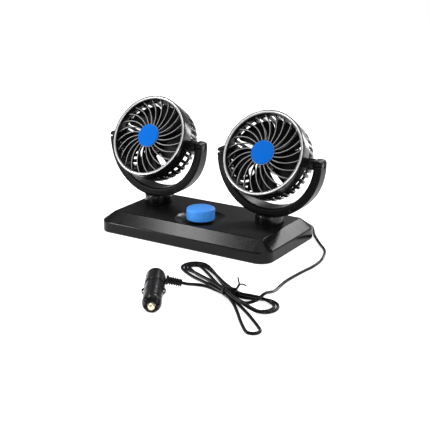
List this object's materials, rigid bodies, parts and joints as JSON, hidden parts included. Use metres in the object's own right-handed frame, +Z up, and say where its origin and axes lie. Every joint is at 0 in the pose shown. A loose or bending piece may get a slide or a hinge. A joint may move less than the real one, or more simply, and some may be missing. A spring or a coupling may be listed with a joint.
{
  "type": "dual head car fan",
  "caption": "Low dashboard base carrying two tilting, panning round fan heads in U-shaped yokes, with a speed knob and a corded car plug.",
  "frame": {"origin": "on the surface that the fan stands on, under the middle of the base", "axes": "+Z up, -Y the way the fans blow at rest, +X towards the base's right end as seen from the front"},
  "size_m": [0.3484, 0.3291, 0.1581],
  "materials": {
    "black_gloss": "glossy moulded black",
    "black_satin": "satin moulded black",
    "blue_plastic": "smooth satin blue",
    "silver_trim": "bright silver plating on plastic",
    "black_rubber": "soft black",
    "steel": "plain bright steel",
    "brass": "pale plated brass",
    "ceramic": "off-white",
    "magnet": "dark grey ferrite"
  },
  "bodies": {
    "base": {"base_top_cover": "black_gloss", "base_bottom_cover": "black_satin", "base_screw_1": "steel", "base_screw_2": "steel", "base_screw_3": "steel", "base_screw_4": "steel", "adhesive_pad_left": "black_rubber", "adhesive_pad_right": "black_rubber", "switch_body": "black_satin", "switch_nut": "steel", "speed_resistor": "ceramic", "supply_wire": "black_rubber", "fan_wire_left": "black_rubber", "fan_wire_right": "black_rubber", "cord_gland": "black_rubber", "cord_run": "black_rubber", "cord_hank": "black_rubber", "cord_tail": "black_rubber", "cord_tie": "black_satin", "plug_strain_relief": "black_rubber", "plug_head": "black_satin", "plug_body": "black_satin", "plug_nose": "black_satin"},
    "knob": {"control_knob": "blue_plastic", "switch_shaft": "steel"},
    "yoke_left": {"yoke_left": "black_satin", "yoke_retainer_left": "steel", "swivel_washer_left": "black_rubber"},
    "head_left": {"rear_housing_left": "black_gloss", "motor_mount_left": "black_gloss", "front_grille_left": "black_satin", "trim_ring_left": "silver_trim", "hub_badge_left": "blue_plastic", "motor_can_left": "steel", "motor_end_cap_left": "ceramic", "motor_magnets_left": "magnet"},
    "fan_left": {"fan_wheel_left": "black_satin", "motor_rotor_left": "steel"},
    "yoke_right": {"yoke_right": "black_satin", "yoke_retainer_right": "steel", "swivel_washer_right": "black_rubber"},
    "head_right": {"rear_housing_right": "black_gloss", "motor_mount_right": "black_gloss", "front_grille_right": "black_satin", "trim_ring_right": "silver_trim", "hub_badge_right": "blue_plastic", "motor_can_right": "steel", "motor_end_cap_right": "ceramic", "motor_magnets_right": "magnet"},
    "fan_right": {"fan_wheel_right": "black_satin", "motor_rotor_right": "steel"},
    "plug_tip": {"plug_tip_pin": "brass", "plug_fuse": "steel"},
    "contact_left": {"plug_contact_left": "steel"},
    "contact_right": {"plug_contact_right": "steel"}
  },
  "joints": [
    {"name": "knob_turn", "type": "hinge", "parent": "base", "child": "knob", "pos_m": [0.002, -0.0165, 0.03], "axis": [0, 0, 1], "range_deg": [-120, 0]},
    {"name": "pan_left", "type": "hinge", "parent": "base", "child": "yoke_left", "pos_m": [-0.0798, 0.0125, 0.03], "axis": [0, 0, 1], "range_deg": [-180, 180]},
    {"name": "tilt_left", "type": "hinge", "parent": "yoke_left", "child": "head_left", "pos_m": [-0.0798, 0.0125, 0.1024], "axis": [1, 0, 0], "range_deg": [-61, 119]},
    {"name": "spin_left", "type": "hinge", "parent": "head_left", "child": "fan_left", "pos_m": [-0.0798, 0.0125, 0.1024], "axis": [0, -0.8746, 0.4848], "continuous": true},
    {"name": "pan_right", "type": "hinge", "parent": "base", "child": "yoke_right", "pos_m": [0.0798, 0.0125, 0.03], "axis": [0, 0, 1], "range_deg": [-180, 180]},
    {"name": "tilt_right", "type": "hinge", "parent": "yoke_right", "child": "head_right", "pos_m": [0.0798, 0.0125, 0.1024], "axis": [1, 0, 0], "range_deg": [-61, 119]},
    {"name": "spin_right", "type": "hinge", "parent": "head_right", "child": "fan_right", "pos_m": [0.0798, 0.0125, 0.1024], "axis": [0, -0.8746, 0.4848], "continuous": true},
    {"name": "plug_tip_press", "type": "slide", "parent": "base", "child": "plug_tip", "axis": [-0.5299, 0.848, 0.0105], "range_m": [0, 0.0025], "stiffness_N_per_m": 900, "springref_m": -0.003},
    {"name": "plug_contact_left_press", "type": "slide", "parent": "base", "child": "contact_left", "axis": [0.848, 0.5299, 0], "range_m": [0, 0.0015], "stiffness_N_per_m": 900, "springref_m": -0.002},
    {"name": "plug_contact_right_press", "type": "slide", "parent": "base", "child": "contact_right", "axis": [-0.848, -0.5299, 0], "range_m": [0, 0.0015], "stiffness_N_per_m": 900, "springref_m": -0.002}
  ]
}
